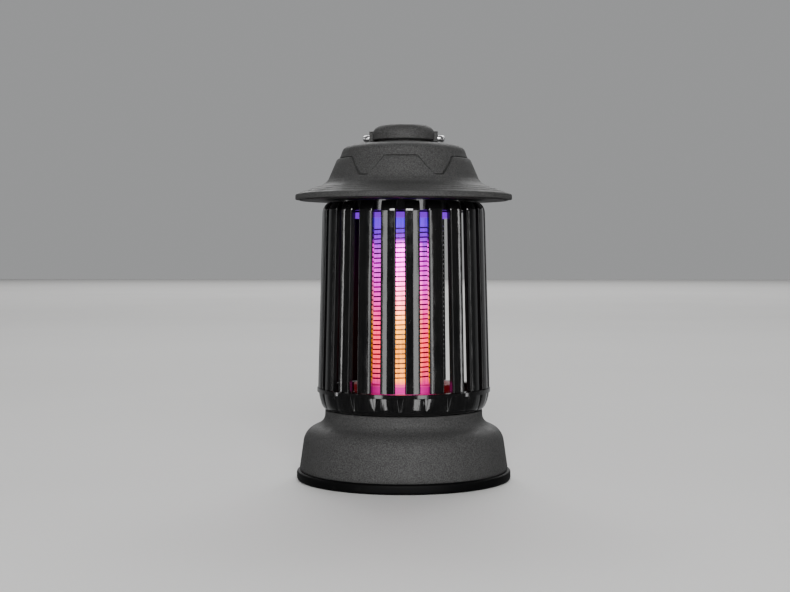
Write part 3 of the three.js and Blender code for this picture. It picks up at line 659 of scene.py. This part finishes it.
# Grid windings. Two bare drawn-steel wires wound round the lamp at the same pitch, half a turn apart, so
# that a live turn and a return turn lie side by side all the way up.
wire_steel = Finish("drawn_wire")
drawing = wire_steel.noise(0.0008, 4, 0.6)
tarnish = wire_steel.between(wire_steel.noise(0.006, 4, 0.6), 0.45, 0.7)
drawn_wire = wire_steel.surface(
    Base_Color=wire_steel.blend(tarnish, (0.16, 0.155, 0.16), (0.07, 0.06, 0.058)),
    Metallic=1.0,
    Roughness=wire_steel.between(drawing, 0.3, 0.7, 0.22, 0.42),
    Normal=wire_steel.bump(drawing, 0.00002, 0.5))

WIRE_RADIUS = 0.5
WINDING_RADIUS = 27.6
WINDING_BOTTOM = 70
WINDING_PITCH = 6.52
WINDING_TURNS = 16


def winding(name, start):
    """One wire, wound up from its azimuth at the bottom."""
    bpy.ops.object.select_all(action="DESELECT")
    bpy.ops.mesh.primitive_circle_add(vertices=8, radius=WIRE_RADIUS * MM, rotation=(math.pi / 2, 0, 0),
                                      location=(WINDING_RADIUS * MM, 0, WINDING_BOTTOM * MM))
    wire = bpy.context.object
    wire.name = wire.data.name = name
    bpy.ops.object.transform_apply(location=True, rotation=True, scale=True)
    modified(wire, "SCREW", axis="Z", angle=2 * math.pi, screw_offset=WINDING_PITCH * MM,
             iterations=WINDING_TURNS, steps=48, render_steps=48, use_merge_vertices=True,
             use_smooth_shade=True)
    bpy.ops.object.mode_set(mode="EDIT")
    bpy.ops.mesh.select_all(action="SELECT")
    bpy.ops.mesh.fill_holes(sides=0)
    finish_mesh(wire, 50)
    wire.rotation_euler.z = start * DEGREE
    bpy.ops.object.transform_apply(location=True, rotation=True, scale=True)
    return wire


placed(winding("grid_winding_live_drawn", 0), "base", drawn_wire, "grid_wire", "grid_winding_live")
placed(winding("grid_winding_return_drawn", 180), "base", drawn_wire, "grid_wire", "grid_winding_return")

# Insect tray. A ring-shaped dish in gloss black ABS with a fluted outer wall: a V-shaped flute under each
# gap, widest at the rim and closing to a point below. It drops over the collar on the base.
gloss = Finish("gloss_black_abs")
peel = gloss.noise(0.0075, 2, 0.4)
haze = gloss.between(gloss.noise(0.020, 5, 0.65, distortion=0.8), 0.45, 0.72)
hairline = gloss.noise(1, 2, place=gloss.stretched((2400, 2400, 60), turn=(0.2, 0.3, 0.1)))
scratch = gloss.between(hairline, 0.70, 0.74)
flow = gloss.between(gloss.noise(1, 3, place=gloss.stretched((700, 700, 9))), 0.35, 0.7)
mote = gloss.specks(300.0, 0.045, 0.07)
film = mote * 0.35 + haze * 0.02 + flow * 0.03
gloss_black = gloss.surface(
    Base_Color=gloss.blend(film, (0.0030, 0.0030, 0.0033), (0.12, 0.115, 0.11)),
    Roughness=0.085 + haze * 0.07 + scratch * 0.10 + mote * 0.3,
    Coat_Weight=0.25,
    Coat_Roughness=0.05,
    Normal=gloss.bump(peel, 0.0004, 0.22, under=gloss.bump(flow, 0.00002, 0.6)))

eroded = Finish("eroded_black_abs")
pitting = eroded.noise(0.0006, 4, 0.6)
eroded_black = eroded.surface(
    Base_Color=eroded.blend(pitting, (0.0016, 0.0016, 0.0018), (0.0032, 0.0032, 0.0034)),
    Roughness=eroded.between(pitting, 0.3, 0.7, 0.46, 0.6),
    Specular_IOR_Level=0.07,
    Normal=eroded.bump(pitting, 0.00006, 0.6))

BAR_COUNT = 22
BAR_PITCH = 360 / BAR_COUNT
BAR_RADIUS = 59.5
TRAY_SHELF = 60.5
RIM_RADIUS = 59.9
RIM_TOP = 63.2
FACET_SLOPE = 0.135
FLUTE_DEPTH = 1.6
FLUTE_START = 0.4
FLUTE_SPREAD = 1.4


def facet_drop(y, slope=0.07, crown=0.012):
    """How far two facets and their soft crown fall back at a distance y from their ridge."""
    return slope * (math.hypot(y, 0.5) - 0.5) + crown * y * y


tray = turned("insect_tray_moulded", [
    (40.5, SEAT), (53.2, SEAT), (54.9, 49.0), *bend((54.9, 49.0), (58.2, 51.6), (59.2, TRAY_SHELF), 9),
    (RIM_RADIUS, TRAY_SHELF), (RIM_RADIUS, RIM_TOP), (53, RIM_TOP), (53, 61.8), (56.2, 60.8), (51.4, 50.4),
    (42.2, 50.4), (42.2, 58), (40.5, 58)], sides=BAR_COUNT * 8)
for vertex in tray.data.vertices:
    radius = math.hypot(vertex.co.x, vertex.co.y) / MM
    rise = (vertex.co.z / MM - SEAT) / (TRAY_SHELF - SEAT)
    # Only the outer wall is fluted, not the rim over it or the dish inside it.
    if not (0 <= rise <= 1.01 and 53.1 + 5 * rise < radius < BAR_RADIUS):
        continue
    # Columns count from the gap at the front: 0 is the bottom of a flute, 1 and 7 its edges, 4 a ridge.
    step = BAR_PITCH / 8
    column = round(math.atan2(vertex.co.x, -vertex.co.y) / DEGREE / step)
    turn = (column + 4) % 8 - 4
    edge = FLUTE_START + FLUTE_SPREAD * rise
    angle = 0 if turn == 0 else edge + (abs(turn) - 1) / 3 * (4 * step - edge)
    across = (4 * step - angle) * DEGREE * radius
    radius -= min(1, 2 * rise) * (facet_drop(across, FACET_SLOPE, 0) - across ** 2 / (2 * radius))
    radius -= FLUTE_DEPTH * rise if turn == 0 else 0
    azimuth = ((column - turn) * step + math.copysign(angle, turn)) * DEGREE
    vertex.co.x = radius * MM * math.sin(azimuth)
    vertex.co.y = -radius * MM * math.cos(azimuth)
softened(tray, 0.2, angle=26, smooth=24)
placed(tray, "cage", gloss_black, "cage_gloss", "insect_tray")

# Cage bars. Twenty-two gloss black bars moulded with the tray's rim, leaning in a little as they rise. The
# outer face has two facets that meet on a soft ridge, the top corner is rounded off under the hat, and the
# inner face is left with the mould's eroded texture.
BAR_BOTTOM = 63.5
BAR_TOP = 191.8
BAR_TOP_RADIUS = 56.3
BAR_LEAN = (BAR_RADIUS - BAR_TOP_RADIUS) / (BAR_TOP - BAR_BOTTOM)
BAR_CORNER = 8
BAR_DEPTH = 4.8

bar_side = [(-facet_drop(y), y) for y in (0, 0.4, 1, 2, 3, 3.8, 4.5)] + [(-1.3, 5.1), (-BAR_DEPTH, 4.7)]
bar_section = [(x, -y) for x, y in reversed(bar_side[1:])] + bar_side
bar = drawn("cage_bar_moulded", [
    (BAR_RADIUS + x, y, BAR_BOTTOM) for x, y in [*bar_section, bar_section[0]]])
bpy.ops.mesh.remove_doubles(threshold=1e-6)
bpy.ops.mesh.select_all(action="SELECT")
bpy.ops.mesh.edge_face_add()
bar_rows = [66, 120, *[BAR_TOP - drop for drop in (8, 6.4, 5, 3.8, 2.8, 2, 1.4, 1)]]
for low, high in zip([BAR_BOTTOM, *bar_rows], bar_rows):
    bpy.ops.mesh.extrude_region_move(TRANSFORM_OT_translate={"value": (0, 0, (high - low) * MM)})
finish_mesh(bar)
for vertex in bar.data.vertices:
    height = vertex.co.z / MM
    inset = 0.0
    if height > BAR_TOP - BAR_CORNER:
        rise = height - (BAR_TOP - BAR_CORNER)
        inset = BAR_CORNER - math.sqrt(BAR_CORNER ** 2 - rise ** 2)
    depth = vertex.co.x / MM - BAR_RADIUS
    vertex.co.x -= (inset * (1 + depth / BAR_DEPTH) + (height - BAR_BOTTOM) * BAR_LEAN) * MM
softened(bar, 0.42, angle=20, segments=3, smooth=26)
for number in range(BAR_COUNT):
    only(bar)
    bpy.ops.object.duplicate()
    copy = bpy.context.object
    copy.name = copy.data.name = f"cage_bar_{number + 1:02d}_moulded"
    copy.rotation_euler.z = number * BAR_PITCH * DEGREE
    bpy.ops.object.transform_apply(location=True, rotation=True, scale=True)
    placed(copy, "cage", gloss_black, "cage_gloss", f"cage_bar_{number + 1:02d}")
    copy.data.materials.append(eroded_black)
    outward = Vector((*around(1, number * BAR_PITCH), 0))
    for face in copy.data.polygons:
        face.material_index = 1 if face.normal.dot(outward) < -0.3 else 0
bpy.data.objects.remove(bar)

# Cage top ring. The gloss black ring behind the bars' upper ends, screwed up into the hat through three
# stepped holes that take the screws' heads.
HAT_SCREW_CIRCLE = 48
RING_BORE = 45
RING_RADIUS = 51.2
RING_BOTTOM = 184.5
top_ring = turned("cage_top_ring_moulded", [
    (RING_BORE, RING_BOTTOM), (RING_RADIUS, RING_BOTTOM), (RING_RADIUS, BAR_TOP), (RING_BORE, BAR_TOP)])
for hole_radius, hole_top in ((2.8, 186.3), (1.7, 193)):
    holes = [post(hole_radius, 183, hole_top, *around(HAT_SCREW_CIRCLE, azimuth))
             for azimuth in SCREW_AZIMUTHS]
    combined(top_ring, "DIFFERENCE", *holes)
softened(top_ring, 0.4, angle=50)
placed(top_ring, "cage", gloss_black, "cage_gloss", "cage_top_ring")

# Hat. One textured charcoal moulding: a wide sloping brim with a thick lip and three fine grooves round it,
# and a crown with a skirt 1.5 mm proud of it, whose top edge dips into four wide valleys.
HAT_RADIUS = 75
SKIRT_FOOT = 206.6
SKIRT_TOP = 220.8
WALL_TOP = 224.0
VALLEY_FLOOR = 208.1
VALLEY_START = 13.8
FLOOR_START = 25.6
FLOOR_END = 33.6
VALLEY_END = 49.4
VALLEY_CORNERS = [VALLEY_START, FLOOR_START, FLOOR_END, VALLEY_END]
# The groove above the skirt's edge is taller where the edge slopes, so that it looks as wide all along.
GROOVE_DEPTH = 1.1
GROOVE_ON_SLOPE = 1.25
GROOVE_ON_LEVEL = 0.75
GROOVE_LIP = 0.06
EDGE_SETBACK = 0.45
# Half the step between two columns of the hat's mesh, in degrees, and a hair more.
HALF_COLUMN = 0.751


def skirt_radius(height):
    """Radius of the skirt's outer face at a height."""
    return 52.2 - (height - SKIRT_FOOT) * 0.4277


def wall_radius(height):
    """Radius of the crown's wall, behind and above the skirt, at a height."""
    return 50.1 - (height - 208) * 0.4243


def skirt_edge(azimuth):
    """Height of the skirt's top edge at this many degrees from the front or the back."""
    fall = SKIRT_TOP - VALLEY_FLOOR
    if azimuth <= VALLEY_START or azimuth >= VALLEY_END:
        return SKIRT_TOP
    if azimuth < FLOOR_START:
        return SKIRT_TOP - fall * (azimuth - VALLEY_START) / (FLOOR_START - VALLEY_START)
    if azimuth <= FLOOR_END:
        return VALLEY_FLOOR
    return VALLEY_FLOOR + fall * (azimuth - FLOOR_END) / (VALLEY_END - FLOOR_END)


proud = [(skirt_radius(height), height) for height in (SKIRT_FOOT, 209.5, 213, 216.5, 220.0)]
recess = [(wall_radius(height), height)
          for height in (SKIRT_TOP + GROOVE_LIP, 221.6, 222.4, 223.2, WALL_TOP)]
hat = turned("hat_moulded", [
    (72.2, 192.8), (74.7, 192.8), (HAT_RADIUS, 193.1), (HAT_RADIUS, 195.2),
    *bend((HAT_RADIUS, 195.2), (HAT_RADIUS, 196.5), (73.4, 196.9), 5),
    (70.5, 197.9), (70.0, 197.45), (69.4, 198.27), (66.3, 199.36), (65.8, 198.9), (65.2, 199.73),
    (62.2, 200.8), (61.7, 200.35), (61.1, 201.17), (58.6, 202.1),
    *bend((58.6, 202.1), (54.6, 203.4), (53.2, 205.6), 8), (52.7, 206.1), *proud,
    (skirt_radius(SKIRT_TOP) - EDGE_SETBACK, SKIRT_TOP), (wall_radius(SKIRT_TOP) - 0.5, SKIRT_TOP),
    *recess, (42.9, 225.4), (42.2, 227),
    *bend((42.2, 227), (40.4, 230.9), (28, 231.3), 12), (20.2, 231.1), (19.8, 232.6), (2.2, 232.6),
    (2.2, 228.9), (28, 228.9), (37.0, 227.4), (47.6, 207), (51, 203), (58.4, 200.6),
    (72.2, 194.8)], sides=240)
for vertex in hat.data.vertices:
    azimuth = math.degrees(math.atan2(vertex.co.x, -vertex.co.y))
    radius = math.hypot(vertex.co.x, vertex.co.y) / MM
    height = vertex.co.z / MM
    # Only the outer faces of the skirt and the wall above it follow the valleys.
    if not (SKIRT_FOOT - 0.05 < height <= WALL_TOP + 0.05 and radius > wall_radius(height) - 0.7):
        continue
    # The column nearest each corner of a valley moves onto it.
    off = abs(azimuth) if abs(azimuth) <= 90 else 180 - abs(azimuth)
    snapped = min(VALLEY_CORNERS, key=lambda corner: abs(corner - off))
    if abs(snapped - off) < HALF_COLUMN:
        azimuth += math.copysign(snapped - off, azimuth) * (1 if abs(azimuth) <= 90 else -1)
        off = snapped
    edge = skirt_edge(off)
    on_slope = VALLEY_START < off < FLOOR_START or FLOOR_END < off < VALLEY_END
    width = GROOVE_ON_SLOPE if on_slope else GROOVE_ON_LEVEL
    if radius > wall_radius(height) + 0.3:
        # The skirt's face keeps its foot, and its edge goes down as a whole.
        back = EDGE_SETBACK if height > SKIRT_TOP - 0.3 else 0
        if height < SKIRT_TOP - 0.7:
            height = SKIRT_FOOT + (height - SKIRT_FOOT) * (edge - SKIRT_FOOT) / (SKIRT_TOP - SKIRT_FOOT)
        else:
            height -= SKIRT_TOP - edge
        radius = skirt_radius(height) - back
    else:
        # The groove goes down with the edge, and the wall above it reaches down to it.
        groove = GROOVE_DEPTH if height < SKIRT_TOP + GROOVE_LIP / 2 else 0
        if height < SKIRT_TOP + 0.1:
            height += edge - SKIRT_TOP + (width if groove == 0 else 0)
        else:
            reach = (WALL_TOP - edge - width - GROOVE_LIP) / (WALL_TOP - SKIRT_TOP - GROOVE_LIP)
            height = WALL_TOP - (WALL_TOP - height) * reach
        radius = wall_radius(height) - groove
    x, y = radius * math.sin(azimuth * DEGREE), -radius * math.cos(azimuth * DEGREE)
    vertex.co = Vector((x, y, height)) * MM
only(hat)
bpy.ops.object.shade_smooth_by_angle(angle=22 * DEGREE)
placed(hat, "cage", housing, "housing", "hat")

# Hat screws' bosses. Three charcoal posts inside the hat, moulded with it, each with a blind hole from
# below that a screw bites into.
for number, azimuth in enumerate(SCREW_AZIMUTHS):
    boss = post(3.2, 194.0, 205.6, *around(HAT_SCREW_CIRCLE, azimuth))
    boss.name = boss.data.name = f"hat_screw_boss_{number + 1}"
    combined(boss, "DIFFERENCE", post(1.6, 190, 203.5, *around(HAT_SCREW_CIRCLE, azimuth)))
    softened(boss, 0.3, angle=50)
    placed(boss, "cage", housing, "housing")

# Top cap. A charcoal cap screwed down on the crown, with an ear on each side. The ears' slots are open
# below and drop over the ends of the wire handle.
CAP_TOP = 244.4
CAP_FOOT = 232.9
SLOT_RADIUS = 2.5
SLOT_START = 18.8
SLOT_END = 25
BAIL_HEIGHT = 235.3
cap = turned("top_cap_moulded", [
    (0, CAP_TOP), (13.4, CAP_TOP), *bend((13.4, CAP_TOP), (20.2, CAP_TOP), (21.7, 238.4), 12),
    (22.0, 234.4), (21.6, 233.9), (18.4, 233.9), (18.4, CAP_FOOT), (17.2, CAP_FOOT), (17.2, 239.6),
    (14.4, 242), (4, 242), (4, CAP_FOOT), (1.4, CAP_FOOT), (1.4, 240), (0, 240)], sides=96)
# Both ears start as one bar across the cap. Its two long upper edges are rounded, and its middle is cut out.
ears = block("ears", (-23.6, -4.8, CAP_FOOT), (23.6, 4.8, 240.2))
bpy.ops.object.mode_set(mode="EDIT")
bpy.ops.mesh.select_mode(type="EDGE")
bpy.ops.mesh.select_all(action="DESELECT")
bpy.ops.object.mode_set(mode="OBJECT")
for edge in ears.data.edges:
    ends = [ears.data.vertices[index].co for index in edge.vertices]
    edge.select = all(end.z > 0.24 for end in ends) and abs(ends[0].x - ends[1].x) > 0.01
bpy.ops.object.mode_set(mode="EDIT")
bpy.ops.mesh.bevel(offset=2.4 * MM, segments=6)
bpy.ops.object.mode_set(mode="OBJECT")
combined(ears, "DIFFERENCE", block("ear_hollow", (-17.3, -8, 230), (17.3, 8, 238.2)))
combined(cap, "UNION", ears)
for side in (-1, 1):
    slot_low, slot_high = sorted((side * SLOT_START, side * SLOT_END))
    combined(cap, "DIFFERENCE",
             pin("slot_round", SLOT_RADIUS, SLOT_START, SLOT_END, 0 if side > 0 else 180, BAIL_HEIGHT, 40),
             block("slot_open", (slot_low, -SLOT_RADIUS, 231), (slot_high, SLOT_RADIUS, BAIL_HEIGHT)))
softened(cap, 0.3, angle=35)
placed(cap, "cage", housing, "housing", "top_cap")

# Bail handle. Chromed steel wire bent to a hoop, lying back over the hat. Its ends turn in to the slots of
# the cap's ears, where it swings.
chrome = Finish("polished_chrome")
ripple = chrome.noise(0.006, 2)
wiped = chrome.between(chrome.noise(0.012, 5, 0.65, distortion=0.7), 0.45, 0.72)
polished_chrome = chrome.surface(
    Base_Color=chrome.blend(wiped, (0.93, 0.93, 0.94), (0.84, 0.835, 0.83)),
    Metallic=1.0,
    Roughness=0.26 + wiped * 0.12,
    Normal=chrome.bump(ripple, 0.0002, 0.12))

ARM = 26.6
ARM_LENGTH = 34
ELBOW = 2.8
BAIL_WIRE_RADIUS = 2.2
hoop = [around(ARM, turn) for turn in range(0, 91, 5)]
half_bail = [(19.2, 0), (21.5, 0), (ARM - ELBOW, 0), *bend((ARM - ELBOW, 0), (ARM, 0), (ARM, ELBOW), 8),
             (ARM, 10), (ARM, 20), (ARM, 30), *[(x, ARM_LENGTH + y) for x, y in hoop]]
bail_line = half_bail + [(-x, y) for x, y in reversed(half_bail[:-1])]
bail = drawn("bail_handle_wire", [(x, y, BAIL_HEIGHT) for x, y in bail_line])
bpy.ops.object.mode_set(mode="OBJECT")
bpy.ops.object.convert(target="CURVE")
bail = bpy.context.object
bail.data.bevel_depth = BAIL_WIRE_RADIUS * MM
bail.data.bevel_resolution = 6
bail.data.use_fill_caps = True
bpy.ops.object.convert(target="MESH")
bail = bpy.context.object
finish_mesh(bail, 50)
softened(bail, 0.5, angle=60)
placed(bail, "bail", polished_chrome, "bail_chrome", "bail_handle")

# Power button. A soft silicone cap with a flange behind the wall that holds it in, and a raised ring round
# a dished face for the thumb.
soft = Finish("soft_silicone")
skin = soft.noise(0.0007, 4, 0.6)
greasy = soft.between(soft.noise(0.006, 3, 0.6), 0.45, 0.7)
soft_silicone = soft.surface(
    Base_Color=soft.blend(skin, (0.010, 0.010, 0.0105), (0.017, 0.017, 0.0175)),
    Roughness=soft.between(skin, 0.3, 0.7, 0.52, 0.68) - greasy * 0.1,
    Specular_IOR_Level=0.4,
    Normal=soft.bump(skin, 0.00004, 0.5))


def set_outward(piece, azimuth, height):
    """Turns a piece made upright about the axis to point straight out at an azimuth and height."""
    only(piece)
    piece.rotation_euler = (0, math.pi / 2, azimuth * DEGREE)
    piece.location = (0, 0, height * MM)
    bpy.ops.object.transform_apply(location=True, rotation=True, scale=True)
    return piece


button = turned("power_button_moulded", [
    (0, 62), (1.6, 62), (1.6, 64.4), (7.6, 64.4), (7.6, 65.8), (6, 65.8), (6, 71.1),
    *bend((6, 71.1), (5.9, 71.7), (5.3, 72.0), 4), (4.7, 72.0),
    *bend((4.7, 72.0), (4.3, 71.6), (3.6, 71.55), 3), (2.0, 71.75), (0, 71.85)], sides=64)
set_outward(button, BUTTON_AZIMUTH, CONTROL_HEIGHT)
placed(button, "button", soft_silicone, "soft_rubber", "power_button")

# Charging flap. A soft silicone door over the socket that bends down at its lower edge, with a plug that
# presses into the socket's mouth, a lip for a fingernail and two ribs for grip.
flap = block("charging_flap_moulded", (-8.4, 68.7, 15.9), (8.4, 70.3, 26.2))
softened(flap, 0.7, angle=30, segments=4)
flap_plug = softened(block("flap_plug", (-4.5, 67.5, 19.0), (4.5, 69.2, 23.4)), 0.5, segments=3)
flap_lip = softened(block("flap_lip", (-3.5, 70.0, 24.6), (3.5, 71.2, 25.9)), 0.5, segments=3)
flap_rib_low = softened(block("flap_rib_low", (-5.5, 70.1, 18.6), (5.5, 70.55, 19.2)), 0.2)
flap_rib_high = softened(block("flap_rib_high", (-5.5, 70.1, 20.4), (5.5, 70.55, 21.0)), 0.2)
joined(flap, flap_plug, flap_lip, flap_rib_low, flap_rib_high)
placed(flap, "flap", soft_silicone, "soft_rubber", "charging_flap")

# Indicator lens. A clear, faintly green light pipe with a domed end, pressed out through the rear wall
# between the flap and the button, with a flange behind the wall.
pipe = Finish("clear_light_pipe")
fog = pipe.noise(0.0015, 3)
clear_pipe = pipe.surface(
    Base_Color=pipe.blend(fog, (0.62, 0.80, 0.70), (0.72, 0.86, 0.78)),
    Roughness=pipe.between(fog, 0.3, 0.7, 0.10, 0.22),
    Transmission_Weight=0.6,
    Coat_Weight=0.3,
    Normal=pipe.bump(fog, 0.00003, 0.3))
lens = turned("indicator_lens_moulded", [
    (0, 65.4), (2.8, 65.4), (2.8, 66.4), (1.6, 66.4), (1.6, 69.8),
    *bend((1.6, 69.8), (1.5, 70.5), (0, 70.6), 6)], sides=40)
set_outward(lens, LENS_AZIMUTH, CONTROL_HEIGHT)
placed(lens, "base", clear_pipe, "indicator_clear", "indicator_lens")
